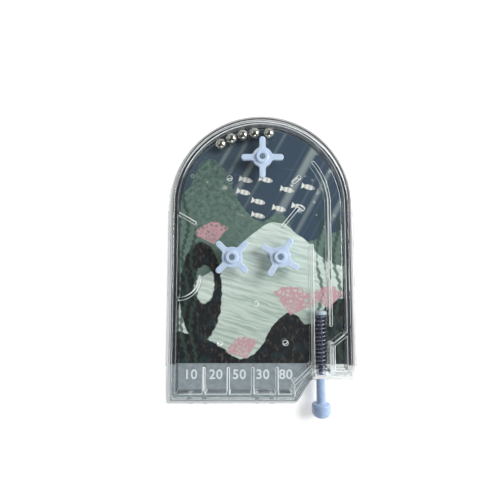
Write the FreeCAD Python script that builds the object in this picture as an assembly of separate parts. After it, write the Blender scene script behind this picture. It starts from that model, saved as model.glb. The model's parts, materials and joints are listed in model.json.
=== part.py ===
"""Hand-held ball game in a flat clear case: tray, cover, playfield ribs, spinners, balls, plunger.

Millimetres. The back face lies on Z = 0 and the picture faces +Z. The arch of the playfield is
centred on the origin, +Y points to its top, and the plunger is on the +X side.
"""
import FreeCAD
import Part
import math
import os

# Steel balls and the room they roll in
ball_diameter = 5.0
ball_count = 5
ball_card_gap = 0.03
ball_fence_gap = 0.05
ball_pitch_gap = 0.1
ball_headroom = 1.8
last_ball_angle = 6.3
star_arm_gap_angle = 11.1

# Case shells
tray_floor = 1.5
tray_wall = 1.25
tray_edge_round = 0.5
card_thickness = 0.4
card_side_gap = 0.15
cover_plate = 1.4
cover_step = 1.8
cover_wall = 1.0
cover_edge_round = 0.35
flange_step = 0.15
flange_height = 1.2
flange_edge_round = 0.3
rim_width = 1.4
rim_height = 0.4
lip_gap = 0.15
lip_card_gap = 0.4
case_left_corner_round = 1.2
case_right_corner_round = 2.4
inner_corner_round = 0.4
chin_low_round = 3.4
chin_low_offset = 1.75
chin_high_offset = 0.55
chin_high_round = 0.8
side_band_width = 0.4
side_band_height = 1.6
side_band_top_drop = 2.0
side_band_end_gap = 5.5
catch_proud = 0.35
catch_height = 1.5

# Playfield
fence_radius = 34.4
fence_wall = 1.4
fence_case_gap = 0.3
fence_corner_round = 1.2
play_length = 76.3
bottom_gap = 0.8
chin_rise = 9.0
right_bottom_gap = 0.5
rib_card_gap = 0.15
fence_pad_radius = 1.1
fence_pad_shares = (0.02, -0.203, -0.482, -0.654)
strip_length = 10.5

# Launch rail, plunger channel and return ramp. A rise is a height above the right side's floor
lane_clearance = 0.65
channel_clearance = 0.9
rail_wall = 1.4
rail_top_angle = 39.0
rail_low_rise = 18.0
channel_top_share = 0.2556
lower_wall_rise = 9.7
lower_wall_width = 2.3
ramp_wall = 1.5
ramp_high_rise = 14.3
gate_thickness = 0.8

# Pockets and the chute wall. The shares are of the width between the fence and the channel wall
divider_count = 4
divider_wall = 1.3
first_pocket_share = 0.1956
pocket_pitch_share = 0.1791
last_pocket_share = 0.0937
chute_wall_width = 1.4
chute_high_rise = 2.3
chute_bend_rise = 3.4
latch_rib_width = 1.7
latch_width = 7.6
latch_place_shares = (-0.75, 0.03)

# Pins and deflector ribs. Places are shares of the fence radius, or of the play length below 0
pin_diameter = 2.4
pin_place_shares = ((-0.382, 0.319), (-0.063, -0.537), (-0.488, -0.743), (0.280, -0.740))
oblong_pin_width = 1.9
oblong_pin_shares = ((0.395, 0.276), (0.456, 0.326))
deflector_wall = 1.5
upper_left_shares = ((-1.0, -0.046), (-0.798, -0.101))
right_shares = ((0.266, -0.115), (0.453, -0.013), (0.500, -0.027))
lower_left_centre_shares = (-0.991, -0.3945)
lower_left_radius = 8.9

# Spinners
spinner_reach_share = 0.2616
spinner_arm_width = 2.6
spinner_arm_count = 4
spinner_hub_diameter = 8.6
spinner_collar_diameter = 5.3
spinner_root_round = 1.2
spinner_arm_height = 1.6
spinner_arm_rise = 1.5
spinner_edge_round = 0.3
spinner_end_gap = 0.15
spinner_ball_gap = 0.31
spinner_top_x = 0.6
spinner_pair_gap = 2.0
spinner_pair_shares = (-0.061, -0.2857)
spinner_turns = (0.0, 45.0, 57.6)
post_diameter = 2.4
post_running_gap = 0.06

# Plunger
plunger_rise = 2.8
tip_length = 1.8
tip_side_gap = 0.3
tip_front_round = 0.7
tip_bore_depth = 1.1
core_diameter = 2.0
shaft_diameter = 3.8
shaft_running_gap = 0.05
shaft_stop_gap = 0.05
knob_case_gap = 9.2
knob_diameter = 7.7
knob_length = 5.6
knob_straight = 2.6
knob_edge_round = 0.5
knob_end_diameter = 4.0

# Plunger spring
spring_length = 22.8
spring_wire = 0.5
spring_mean_radius = 2.2
spring_turns = 14
spring_bend_radius = 0.8
quarters_per_turn = 4

# One overrun for cuts
overrun = 1.0

# Heights
card_top = tray_floor + card_thickness
cover_under = card_top + ball_diameter + ball_headroom
cover_top = cover_under + cover_plate
rim_top = cover_top + rim_height
rib_foot = card_top + rib_card_gap
plunger_z = card_top + plunger_rise
parting_z = plunger_z
flange_top = parting_z + flange_height
ball_radius = ball_diameter / 2
ball_z = card_top + ball_card_gap + ball_radius

# Places that follow from the sizes above
right_play_length = play_length - chin_rise
cover_inner_inset = cover_step + cover_wall
case_radius = fence_radius + fence_wall + fence_case_gap + cover_inner_inset
case_bottom = play_length + fence_wall + bottom_gap + cover_inner_inset
case_right_bottom = right_play_length + fence_wall + right_bottom_gap + cover_inner_inset
rail_outer = fence_radius - ball_diameter - lane_clearance
rail_inner = rail_outer - rail_wall
lower_wall_right = rail_inner + lower_wall_width
channel_right_face = rail_inner
channel_left_face = channel_right_face - ball_diameter - channel_clearance
channel_wall_left = channel_left_face - rail_wall
plunger_x = (channel_left_face + channel_right_face) / 2
gate_outer_y = -(case_right_bottom - cover_inner_inset)
gate_inner_y = gate_outer_y + gate_thickness
rail_low_y = rail_low_rise - right_play_length
channel_top_y = -channel_top_share * right_play_length
lower_wall_top_y = lower_wall_rise - right_play_length
ramp_high_y = ramp_high_rise - right_play_length
chute_high_y = chute_high_rise - right_play_length
chute_bend_y = chute_bend_rise - play_length
field_width = fence_radius + channel_wall_left
pocket_pitch = pocket_pitch_share * field_width
first_divider_x = -fence_radius + first_pocket_share * field_width + divider_wall / 2
last_divider_x = first_divider_x + (divider_count - 1) * pocket_pitch
last_pocket_right = last_divider_x + divider_wall / 2 + last_pocket_share * field_width
chute_foot_x = last_pocket_right + chute_wall_width / 2
chin_low_x = chute_foot_x + chin_low_offset
chin_high_x = channel_wall_left + chin_high_offset
strip_top_y = -(play_length - strip_length)
ball_path_radius = fence_radius - ball_fence_gap - ball_radius
tip_radius = (channel_right_face - channel_left_face) / 2 - tip_side_gap
tip_back_y = gate_inner_y + spring_length
tip_front_y = tip_back_y + tip_length
knob_face_y = -case_right_bottom - knob_case_gap
spinner_reach = spinner_reach_share * fence_radius
spinner_pair_x = spinner_pair_shares[0] * fence_radius
spinner_pair_y = spinner_pair_shares[1] * play_length
spinner_low = ball_z + spinner_arm_rise
spinner_high = spinner_low + spinner_arm_height
ball_slice_radius = math.sqrt(ball_radius ** 2 - spinner_arm_rise ** 2)
spinner_top_y = math.sqrt(
    (ball_path_radius - ball_slice_radius - spinner_ball_gap - spinner_reach) ** 2 - spinner_top_x ** 2
)
spinner_half_pitch = spinner_reach + spinner_pair_gap / 2
spinner_places = (
    ("top", spinner_top_x, spinner_top_y),
    ("left", spinner_pair_x - spinner_half_pitch, spinner_pair_y),
    ("right", spinner_pair_x + spinner_half_pitch, spinner_pair_y),
)

ALONG_Z = FreeCAD.Vector(0, 0, 1)
ALONG_Y = FreeCAD.Vector(0, 1, 0)


def point(x, y, z=0.0):
    return FreeCAD.Vector(x, y, z)


def cylinder(x, y, radius, low, high):
    return Part.makeCylinder(radius, high - low, point(x, y, low), ALONG_Z)


def block(x0, y0, z0, x1, y1, z1):
    return Part.makeBox(x1 - x0, y1 - y0, z1 - z0, point(x0, y0, z0))


def joined(shapes):
    """Fuse solids that touch or overlap into one clean solid."""
    first, rest = shapes[0], shapes[1:]
    return first.fuse(rest).removeSplitter() if rest else first


def rounded_loop(corners):
    """Closed wire through (x, y, radius) corners, each rounded by its own radius."""
    edges = []
    starts, ends = [], []
    count = len(corners)
    for i, (x, y, radius) in enumerate(corners):
        here = point(x, y)
        back = (point(*corners[i - 1][:2]) - here).normalize()
        ahead = (point(*corners[(i + 1) % count][:2]) - here).normalize()
        half = back.getAngle(ahead) / 2
        reach = radius / math.tan(half)
        middle = (back + ahead).normalize()
        starts.append(here + back * reach)
        ends.append(here + ahead * reach)
        if radius > 0:
            top = here + middle * (radius / math.sin(half) - radius)
            edges.append((i, Part.Arc(starts[i], top, ends[i]).toShape()))
    loop = []
    arcs = dict(edges)
    for i in range(count):
        if i in arcs:
            loop.append(arcs[i])
        loop.append(Part.LineSegment(ends[i], starts[(i + 1) % count]).toShape())
    return Part.Wire(loop)


def prism(wire, low, high):
    face = Part.Face(wire)
    face.translate(point(0, 0, low))
    return face.extrude(point(0, 0, high - low))


def inset_chin(inset):
    """The chin's two corners after every side of the case has moved inwards by an inset."""
    low = point(chin_low_x, -case_bottom)
    high = point(chin_high_x, -case_right_bottom)
    along = (high - low).normalize()
    inwards = point(-along.y, along.x)
    on_line = low + inwards * inset
    low_y = -(case_bottom - inset)
    high_y = -(case_right_bottom - inset)
    slope = along.x / along.y
    low_x = on_line.x + (low_y - on_line.y) * slope
    high_x = on_line.x + (high_y - on_line.y) * slope
    return (low_x, low_y), (high_x, high_y)


def case_prism(inset, low, high):
    """The case's outline, moved inwards by an inset and raised between two heights."""
    radius = case_radius - inset
    chin_low, chin_high = inset_chin(inset)
    left_corner = max(case_left_corner_round - inset, inner_corner_round)
    right_corner = max(case_right_corner_round - inset, inner_corner_round)
    corners = [
        (-radius, 0, 0),
        (-radius, chin_low[1], left_corner),
        (chin_low[0], chin_low[1], max(chin_low_round - inset, inner_corner_round)),
        (chin_high[0], chin_high[1], chin_high_round + inset),
        (radius, chin_high[1], right_corner),
        (radius, 0, 0),
    ]
    body = prism(rounded_loop(corners), low, high)
    arch = cylinder(0, 0, radius, low, high)
    return joined([body, arch])


def case_ring(outer_inset, inner_inset, low, high):
    return case_prism(outer_inset, low, high).cut(
        case_prism(inner_inset, low - overrun, high + overrun)
    )


def rib(places, width, low=rib_foot, high=cover_under):
    """A wall of even width along a line of places, with rounded ends and corners."""
    pieces = [cylinder(x, y, width / 2, low, high) for x, y in places]
    for (x0, y0), (x1, y1) in zip(places, places[1:]):
        along = point(x1 - x0, y1 - y0).normalize()
        side = point(-along.y, along.x) * (width / 2)
        a, b = point(x0, y0), point(x1, y1)
        loop = Part.makePolygon([a - side, b - side, b + side, a + side, a - side])
        pieces.append(prism(loop, low, high))
    return joined(pieces)


def arc_rib(cx, cy, radius, start, sweep, width):
    """A wall of even width along an arc, with rounded ends. Angles in degrees from +X."""
    height = cover_under - rib_foot
    foot = point(cx, cy, rib_foot)
    outer = Part.makeCylinder(radius + width / 2, height, foot, ALONG_Z, sweep)
    inner = Part.makeCylinder(radius - width / 2, height, foot, ALONG_Z)
    wall = outer.cut(inner)
    wall.rotate(foot, ALONG_Z, start)
    ends = []
    for angle in (start, start + sweep):
        turn = math.radians(angle)
        x, y = cx + radius * math.cos(turn), cy + radius * math.sin(turn)
        ends.append(cylinder(x, y, width / 2, rib_foot, cover_under))
    return joined([wall] + ends)


def scaled_y(share):
    """A height above the arch's centre follows its radius, and one below follows the play length."""
    return share * (fence_radius if share > 0 else play_length)


def scaled_places(shares):
    return [(x * fence_radius, scaled_y(y)) for x, y in shares]


def turned_solid(profile, x, z):
    """Turn a closed profile of (radius, y) points about the line along Y at (x, z)."""
    corners = [point(x + r, y, z) for r, y in profile]
    face = Part.Face(Part.makePolygon(corners + corners[:1]))
    return face.revolve(point(x, 0, z), ALONG_Y, 360)


def round_edges(shape, radius, wanted):
    edges = [e for e in shape.Edges if wanted(e)]
    return shape.makeFillet(radius, edges)


def edge_at_height(z):
    limit = overrun / 1000
    return lambda edge: all(abs(v.Z - z) < limit for v in edge.Vertexes)


def outer_edge_at_height(z):
    """Edges of the flange's outer rim: at a height, and further out than the cover's wall."""
    level = edge_at_height(z)
    wall_face = case_prism((flange_step + cover_step) / 2, z - overrun, z + overrun)

    def wanted(edge):
        middle = edge.valueAt((edge.FirstParameter + edge.LastParameter) / 2)
        return level(edge) and not wall_face.isInside(middle, 0, False)

    return wanted


def base_tray():
    """Floor, low wall, side bands and the catches for the latches, with a gap for the gate."""
    floor = case_prism(0, 0, tray_floor)
    wall = case_ring(0, tray_wall, tray_floor, parting_z)
    band_low = parting_z - side_band_height
    band_foot_y = -(case_right_bottom - side_band_end_gap)
    overlap = tray_wall / 2
    bands = [
        block(case_radius - overlap, band_foot_y, band_low,
              case_radius + side_band_width, -side_band_top_drop, parting_z),
        block(-case_radius - side_band_width, band_foot_y, band_low,
              -case_radius + overlap, -side_band_top_drop, parting_z),
    ]
    tray = joined([floor, wall] + bands)
    tray = round_edges(tray, tray_edge_round, edge_at_height(0))
    catches = []
    for x in latch_rib_places():
        half = latch_rib_width / 2
        catches.append(block(x - half, -case_bottom - catch_proud, parting_z - catch_height,
                             x + half, -case_bottom + overlap, parting_z))
    tray = joined([tray] + catches)
    return tray.cut(gate_gap())


def gate_gap():
    """Gap in the case's lower right wall that the spring gate fills."""
    return block(channel_left_face, -case_right_bottom - overrun, tray_floor,
                 channel_right_face, gate_outer_y + overrun, cover_under)


def top_cover():
    """Window plate with a raised rim, the wall, its flange and the lip that plugs into the tray."""
    plate = case_prism(cover_step, cover_under, cover_top)
    rim = case_ring(cover_step, cover_step + rim_width, cover_top, rim_top)
    wall = case_ring(cover_step, cover_inner_inset, parting_z, cover_under)
    flange = case_ring(flange_step, cover_inner_inset, parting_z, flange_top)
    lip = case_ring(tray_wall + lip_gap, cover_inner_inset, card_top + lip_card_gap, parting_z)
    cover = joined([plate, rim, wall, flange, lip])
    cover = round_edges(cover, cover_edge_round, edge_at_height(rim_top))
    cover = round_edges(cover, flange_edge_round, outer_edge_at_height(flange_top))
    return cover.cut(gate_gap())


def card_blank(low, high):
    return case_prism(tray_wall + card_side_gap, low, high)


def picture_card():
    far = 2 * case_bottom
    strip = block(-far, -far, 0, chin_high_x, strip_top_y, cover_top)
    foot = block(-far, -far, 0, far, -right_play_length - fence_wall / 2, cover_top)
    return card_blank(tray_floor, card_top).cut(strip).cut(foot)


def score_strip():
    far = 2 * case_bottom
    strip = block(-far, -far, 0, chin_high_x, strip_top_y, cover_top)
    return card_blank(tray_floor, card_top).common(strip)


def perimeter_fence():
    """Wall round the playfield: the arch, both sides, the bottom and the floor of the right side."""
    outer = fence_radius + fence_wall
    arch = cylinder(0, 0, outer, rib_foot, cover_under).cut(
        cylinder(0, 0, fence_radius, rib_foot - overrun, cover_under + overrun)
    )
    arch = arch.cut(block(-outer - overrun, -outer - overrun, 0, outer + overrun, 0, rim_top))
    foot_x = chute_foot_x + chute_wall_width / 2
    walls = [
        block(-outer, -play_length - fence_wall, rib_foot, -fence_radius, 0, cover_under),
        block(-outer, -play_length - fence_wall, rib_foot, foot_x, -play_length, cover_under),
        block(fence_radius, -right_play_length - fence_wall, rib_foot, outer, 0, cover_under),
        block(lower_wall_right, -right_play_length - fence_wall, rib_foot,
              outer, -right_play_length, cover_under),
    ]
    pad_x = fence_radius + fence_wall / 2
    playfield = block(-fence_radius, -case_bottom, 0, fence_radius, case_radius, rim_top)
    pads = [cylinder(pad_x, scaled_y(share), fence_pad_radius, rib_foot, cover_under).cut(playfield)
            for share in fence_pad_shares]
    fence = joined([arch] + walls + pads)
    corners = (point(-outer, -play_length - fence_wall), point(outer, -right_play_length - fence_wall))

    def at_corner(edge):
        ends = edge.Vertexes
        return len(ends) == 2 and all(
            any(math.hypot(v.X - c.x, v.Y - c.y) < overrun / 10 for c in corners) for v in ends
        )

    return round_edges(fence, fence_corner_round, at_corner).common(
        case_prism(cover_inner_inset, 0, rim_top)
    )


def launch_rail():
    """The rail that a shot ball runs along, bent round the arch and straight beside the channel."""
    middle = rail_inner + rail_wall / 2
    bend = arc_rib(0, 0, middle, 0, rail_top_angle, rail_wall)
    return joined([bend, rib([(middle, 0), (middle, rail_low_y)], rail_wall)])


def channel_wall():
    x = channel_wall_left + rail_wall / 2
    top = rib([(x, channel_top_y), (x, gate_inner_y)], rail_wall)
    foot = block(channel_wall_left, gate_outer_y, rib_foot, channel_left_face, gate_inner_y, cover_under)
    wall = joined([top, foot])
    below = block(channel_wall_left - overrun, -case_bottom, 0,
                  channel_left_face + overrun, gate_outer_y, rim_top)
    return wall.cut(below)


def lower_channel_wall():
    """The channel's right wall below the ramp, wider than the rail, down to the case's wall."""
    x = rail_inner + lower_wall_width / 2
    wall = rib([(x, lower_wall_top_y), (x, gate_inner_y)], lower_wall_width)
    foot = block(rail_inner, gate_outer_y, rib_foot, lower_wall_right, gate_inner_y, cover_under)
    wall = joined([wall, foot])
    below = block(rail_inner - overrun, -case_bottom, 0,
                  lower_wall_right + overrun, gate_outer_y, rim_top)
    return wall.cut(below)


def return_ramp():
    x = rail_inner + lower_wall_width / 2
    high = (fence_radius, ramp_high_y)
    low = (x, lower_wall_top_y)
    return rib([low, high], ramp_wall).cut(lower_channel_wall()).cut(perimeter_fence())


def plunger_bore(diameter, foot_y, top_y):
    radius = diameter / 2 + shaft_running_gap
    return Part.makeCylinder(radius, top_y - foot_y, point(plunger_x, foot_y, plunger_z), ALONG_Y)


def spring_gate():
    """Block in the case's wall: a plate that carries the spring and stops the shaft, and its guide."""
    profile = joined([
        case_prism(0, tray_floor, parting_z),
        case_prism(flange_step, parting_z, flange_top),
        case_prism(cover_step, flange_top, cover_under),
    ])
    foot_y = -case_right_bottom - overrun
    wall = block(channel_left_face, foot_y, tray_floor, channel_right_face, gate_inner_y, cover_under)
    guide = plunger_bore(shaft_diameter, foot_y, gate_outer_y)
    core_way = plunger_bore(core_diameter, foot_y, gate_inner_y + overrun)
    return wall.common(profile).cut(guide).cut(core_way)


def chute_wall():
    places = [
        (channel_wall_left + rail_wall / 2, chute_high_y),
        (chute_foot_x, chute_bend_y),
        (chute_foot_x, -play_length),
    ]
    return rib(places, chute_wall_width).cut(channel_wall()).cut(perimeter_fence())


def pocket_dividers():
    ribs = []
    for i in range(divider_count):
        x = first_divider_x + i * pocket_pitch
        wall = rib([(x, strip_top_y - divider_wall / 2), (x, -play_length)], divider_wall)
        ribs.append(wall.cut(perimeter_fence()))
    return Part.makeCompound(ribs)


def latch_rib_places():
    spread = (latch_width - latch_rib_width) / 2
    middles = [share * fence_radius for share in latch_place_shares]
    return [middle + side for middle in middles for side in (-spread, spread)]


def latch_ribs():
    """Pairs of short ribs between the fence and the lower wall, either side of each latch."""
    half = latch_rib_width / 2
    inner = -(case_bottom - cover_inner_inset)
    outer = -(play_length + fence_wall)
    return Part.makeCompound(
        [block(x - half, inner, rib_foot, x + half, outer, cover_under) for x in latch_rib_places()]
    )


def guide_pins():
    pins = [cylinder(x, y, pin_diameter / 2, rib_foot, cover_under)
            for x, y in scaled_places(pin_place_shares)]
    pins.append(rib(scaled_places(oblong_pin_shares), oblong_pin_width))
    return Part.makeCompound(pins)


def upper_left_deflector():
    return rib(scaled_places(upper_left_shares), deflector_wall).cut(perimeter_fence())


def lower_left_deflector():
    x, y = scaled_places([lower_left_centre_shares])[0]
    return arc_rib(x, y, lower_left_radius, 270, 90, deflector_wall).cut(perimeter_fence())


def right_deflector():
    return rib(scaled_places(right_shares), deflector_wall)


def spinner_posts():
    return Part.makeCompound(
        [cylinder(x, y, post_diameter / 2, rib_foot, cover_under) for _, x, y in spinner_places]
    )


def spinner(x, y, turn):
    """Four-armed star on a hub that fills the height between card and cover."""
    tip = spinner_reach - spinner_arm_width / 2
    low, high = spinner_low, spinner_high
    parts = [cylinder(0, 0, spinner_hub_diameter / 2, low, high)]
    step = 360 / spinner_arm_count
    for i in range(spinner_arm_count):
        angle = math.radians(i * step)
        end = (tip * math.cos(angle), tip * math.sin(angle))
        parts.append(rib([(0, 0), end], spinner_arm_width, low, high))
    star = joined(parts)
    hub_corner = math.sqrt((spinner_hub_diameter / 2) ** 2 - (spinner_arm_width / 2) ** 2)
    reach = math.hypot(hub_corner, spinner_arm_width / 2)

    def at_root(edge):
        ends = edge.Vertexes
        upright = len(ends) == 2 and abs(ends[0].Z - ends[1].Z) > spinner_arm_height / 2
        return upright and abs(math.hypot(ends[0].X, ends[0].Y) - reach) < spinner_edge_round / 10

    star = round_edges(star, spinner_root_round, at_root)
    star = round_edges(star, spinner_edge_round, edge_at_height(high))
    foot = card_top + spinner_end_gap
    crown = cover_under - spinner_end_gap
    collar = cylinder(0, 0, spinner_collar_diameter / 2, foot, crown)
    star = joined([star, collar])
    star = round_edges(star, spinner_edge_round, edge_at_height(crown))
    bore_radius = post_diameter / 2 + post_running_gap
    star = star.cut(cylinder(0, 0, bore_radius, foot - overrun, crown + overrun))
    star.rotate(point(0, 0), ALONG_Z, turn)
    star.translate(point(x, y))
    return star


def ball_angles():
    """Angles from +Y, positive to the left. The first gap leaves room for the top spinner's arm."""
    chord = ball_diameter + ball_pitch_gap
    pitch = math.degrees(2 * math.asin(chord / 2 / ball_path_radius))
    angles = [-last_ball_angle, star_arm_gap_angle - last_ball_angle]
    while len(angles) < ball_count:
        angles.append(angles[-1] + pitch)
    return angles


def ball(angle):
    turn = math.radians(angle)
    centre = point(-ball_path_radius * math.sin(turn), ball_path_radius * math.cos(turn), ball_z)
    return Part.makeSphere(ball_radius, centre)


def plunger_rod():
    """Core, guided shaft and knob as one piece, turned about the plunger's axis."""
    core = core_diameter / 2
    shaft = shaft_diameter / 2
    knob = knob_diameter / 2
    end = knob_end_diameter / 2
    head_y = tip_back_y + tip_bore_depth
    shoulder_y = gate_outer_y - shaft_stop_gap
    straight_y = knob_face_y - knob_straight
    foot_y = knob_face_y - knob_length
    bow = point(knob, straight_y)
    bottom = point(end, foot_y)
    chord = bottom - bow
    outwards = point(-chord.y, chord.x).normalize()
    crown = (bow + bottom) * 0.5 + outwards * (chord.Length / knob_length)
    places = [(0, head_y), (core, head_y), (core, shoulder_y), (shaft, shoulder_y),
              (shaft, knob_face_y), (knob - knob_edge_round, knob_face_y),
              (knob, knob_face_y - knob_edge_round), (knob, straight_y)]
    corners = [point(plunger_x + r, y, plunger_z) for r, y in places]
    edges = [Part.LineSegment(a, b).toShape() for a, b in zip(corners, corners[1:])]
    lift = point(plunger_x, 0, plunger_z)
    edges.append(Part.Arc(bow + lift, crown + lift, bottom + lift).toShape())
    axis_foot = point(plunger_x, foot_y, plunger_z)
    edges.append(Part.LineSegment(bottom + lift, axis_foot).toShape())
    edges.append(Part.LineSegment(axis_foot, corners[0]).toShape())
    face = Part.Face(Part.Wire(edges))
    return face.revolve(point(plunger_x, 0, plunger_z), ALONG_Y, 360)


def plunger_tip():
    """Push-on cap that strikes the ball and holds the upper end of the spring."""
    core = core_diameter / 2
    bore_y = tip_back_y + tip_bore_depth
    profile = [
        (0, tip_front_y), (tip_radius - tip_front_round, tip_front_y),
        (tip_radius, tip_front_y - tip_front_round), (tip_radius, tip_back_y),
        (core, tip_back_y), (core, bore_y), (0, bore_y),
    ]
    return turned_solid(profile, plunger_x, plunger_z)


def arc_through(start, along, end):
    """Arc that leaves a start along a direction and reaches an end."""
    chord = end - start
    half = chord.getAngle(along)
    side = (along - chord * (along.dot(chord) / chord.dot(chord))).normalize()
    top = (start + end) * 0.5 + side * (chord.Length / 2 * math.tan(half / 2))
    return Part.Arc(start, top, end).toShape()


def biarc(start, along, end, onwards):
    """Two arcs, tangent to each other, between two places with given directions."""
    gap = end - start
    both = along + onwards
    spread = 2 * (1 - along.dot(onwards))
    reach = (math.sqrt(gap.dot(both) ** 2 + spread * gap.dot(gap)) - gap.dot(both)) / spread
    middle = (start + along * reach + end - onwards * reach) * 0.5
    turn_back = (end - onwards * reach) - middle
    return [arc_through(start, along, middle), arc_through(middle, turn_back.normalize(), end)]


def spring_route():
    """Tangent arcs along the spring: a straight foot, a bend, the turns, a bend, a straight head."""
    length = tip_back_y - gate_inner_y
    tail = spring_wire + spring_bend_radius
    rise = (length - 2 * tail) / spring_turns
    slope = math.atan2(rise, 2 * math.pi * spring_mean_radius)

    def on_helix(turns):
        turn = 2 * math.pi * turns
        place = point(
            plunger_x + spring_mean_radius * math.cos(turn),
            gate_inner_y + tail + rise * turns,
            plunger_z - spring_mean_radius * math.sin(turn),
        )
        along = point(-math.sin(turn) * math.cos(slope), math.sin(slope), -math.cos(turn) * math.cos(slope))
        return place, along

    start, start_along = on_helix(0)
    end, end_along = on_helix(spring_turns)
    flat_start = point(start_along.x, 0, start_along.z).normalize()
    flat_end = point(end_along.x, 0, end_along.z).normalize()
    bend = spring_bend_radius
    foot_knee = start - flat_start * bend * (1 - math.sin(slope)) - ALONG_Y * bend * math.cos(slope)
    head_knee = end + flat_end * bend * (1 - math.sin(slope)) + ALONG_Y * bend * math.cos(slope)
    foot = point(foot_knee.x, gate_inner_y, foot_knee.z)
    head = point(head_knee.x, tip_back_y, head_knee.z)
    edges = [Part.LineSegment(foot, foot_knee).toShape(), arc_through(foot_knee, ALONG_Y, start)]
    steps = spring_turns * quarters_per_turn
    for i in range(steps):
        a, a_along = on_helix(i / quarters_per_turn)
        b, b_along = on_helix((i + 1) / quarters_per_turn)
        edges += biarc(a, a_along, b, b_along)
    edges.append(arc_through(end, end_along, head_knee))
    edges.append(Part.LineSegment(head_knee, head).toShape())
    print("spring: least gap between turns", round(rise * math.cos(slope) - spring_wire, 3), "mm")
    return Part.Wire(edges), foot


def plunger_spring():
    """Compression spring as one unbroken wire between the gate and the tip."""
    route, foot = spring_route()
    section = Part.Wire(Part.makeCircle(spring_wire / 2, foot, ALONG_Y))
    return route.makePipeShell([section], True, False)


def nodes():
    made = {
        "base_tray": base_tray(),
        "picture_card": picture_card(),
        "score_strip": score_strip(),
        "top_cover": top_cover(),
        "perimeter_fence": perimeter_fence(),
        "launch_rail": launch_rail(),
        "channel_wall": channel_wall(),
        "lower_channel_wall": lower_channel_wall(),
        "return_ramp": return_ramp(),
        "chute_wall": chute_wall(),
        "pocket_dividers": pocket_dividers(),
        "latch_ribs": latch_ribs(),
        "guide_pins": guide_pins(),
        "spinner_posts": spinner_posts(),
        "upper_left_deflector": upper_left_deflector(),
        "lower_left_deflector": lower_left_deflector(),
        "right_deflector": right_deflector(),
        "spring_gate": spring_gate(),
        "plunger_rod": plunger_rod(),
        "plunger_tip": plunger_tip(),
        "plunger_spring": plunger_spring(),
    }
    for (name, x, y), turn in zip(spinner_places, spinner_turns):
        made["spinner_" + name] = spinner(x, y, turn)
    for i, angle in enumerate(ball_angles()):
        made["ball_" + str(i + 1)] = ball(angle)
    return made


os.makedirs("parts", exist_ok=True)
for node_name, shape in nodes().items():
    shape.exportStep("parts/" + node_name + ".step")
    print(node_name, "solids", len(shape.Solids), "valid", shape.isValid(), "mm3", round(shape.Volume, 2))
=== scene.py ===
import json
from functools import reduce
from math import radians, tau

import bmesh
import bpy
from mathutils import Matrix, Vector

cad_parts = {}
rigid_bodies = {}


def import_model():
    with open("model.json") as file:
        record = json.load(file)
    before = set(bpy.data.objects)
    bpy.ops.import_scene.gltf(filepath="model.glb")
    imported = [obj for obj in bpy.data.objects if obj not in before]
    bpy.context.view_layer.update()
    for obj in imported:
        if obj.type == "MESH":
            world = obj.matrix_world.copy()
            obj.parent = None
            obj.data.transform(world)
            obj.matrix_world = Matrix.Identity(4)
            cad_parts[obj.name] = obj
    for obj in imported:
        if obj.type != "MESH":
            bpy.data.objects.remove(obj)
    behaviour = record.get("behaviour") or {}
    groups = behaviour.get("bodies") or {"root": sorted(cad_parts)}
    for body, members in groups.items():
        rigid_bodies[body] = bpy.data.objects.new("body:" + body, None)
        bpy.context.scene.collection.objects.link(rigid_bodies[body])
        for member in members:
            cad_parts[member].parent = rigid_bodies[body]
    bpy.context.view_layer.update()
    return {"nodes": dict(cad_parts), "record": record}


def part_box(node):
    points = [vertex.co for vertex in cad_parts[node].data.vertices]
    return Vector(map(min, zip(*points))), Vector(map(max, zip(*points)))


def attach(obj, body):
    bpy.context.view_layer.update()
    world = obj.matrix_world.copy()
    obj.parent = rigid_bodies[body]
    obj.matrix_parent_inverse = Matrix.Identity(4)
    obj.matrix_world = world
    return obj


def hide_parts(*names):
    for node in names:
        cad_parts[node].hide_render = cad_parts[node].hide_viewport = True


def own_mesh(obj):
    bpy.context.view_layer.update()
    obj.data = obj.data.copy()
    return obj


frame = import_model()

bl_info = {
    "name": "Pocket Pinball Game",
    "version": (1, 0, 0),
    "blender": (4, 5, 0),
    "location": "3D Viewport > Sidebar > Pinball",
    "description": "Dresses a hand-held ball game with its plastic, print, balls and spring",
    "category": "Add Mesh",
}

MM = 0.001
WELD = 0.002 * MM
BALLS = ("ball_1", "ball_2", "ball_3", "ball_4", "ball_5")
SPINNERS = ("spinner_top", "spinner_left", "spinner_right")
RIB_GROUPS = {
    "fence_moulding": ("perimeter_fence", "upper_left_deflector", "lower_left_deflector",
                       "return_ramp", "lower_channel_wall", "channel_wall", "chute_wall",
                       "pocket_dividers", "latch_ribs"),
    "launch_rail_moulding": ("launch_rail",),
    "right_deflector_moulding": ("right_deflector",),
    "guide_pins_moulding": ("guide_pins",),
    "spinner_posts_moulding": ("spinner_posts",),
}
CASE_SHELLS = ("base_tray", "top_cover", "spring_gate")

# Places on the case, in millimetres from the middle of the arch and up from the table.
CASE_HALF = 38.9
FOOT_REACH = 81.3 - CASE_HALF
CHIN_REACH = 72.0 - CASE_HALF
CHIN_SIDE = 20.5
RAMP_ENDS = ((28.5, -57.6), (35.1, -52.45))
RAMP_WIDTH = 1.5
FENCE_FACES = (34.2, 35.4)
FENCE_HEIGHTS = (2.3, 8.4)
# The fence's painted shade turns from darker at the left to lighter at the right across these
# places.
LEFT_TO_RIGHT_SHADE = (-33, -25)
# Where the top edges on the left stay clear: a painted shade that dims them.
DIMMED_EDGE_TOP = (7.6, 7.8)
DIMMED_EDGE_SIDE = (-30, -33)
WINDOW_BORDER_HEIGHT = 8.6
CLOUDY_WALL_X = (27.1, 29.9)
CLOUDY_WALL_Y = (-71.5, -57.4)
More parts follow.
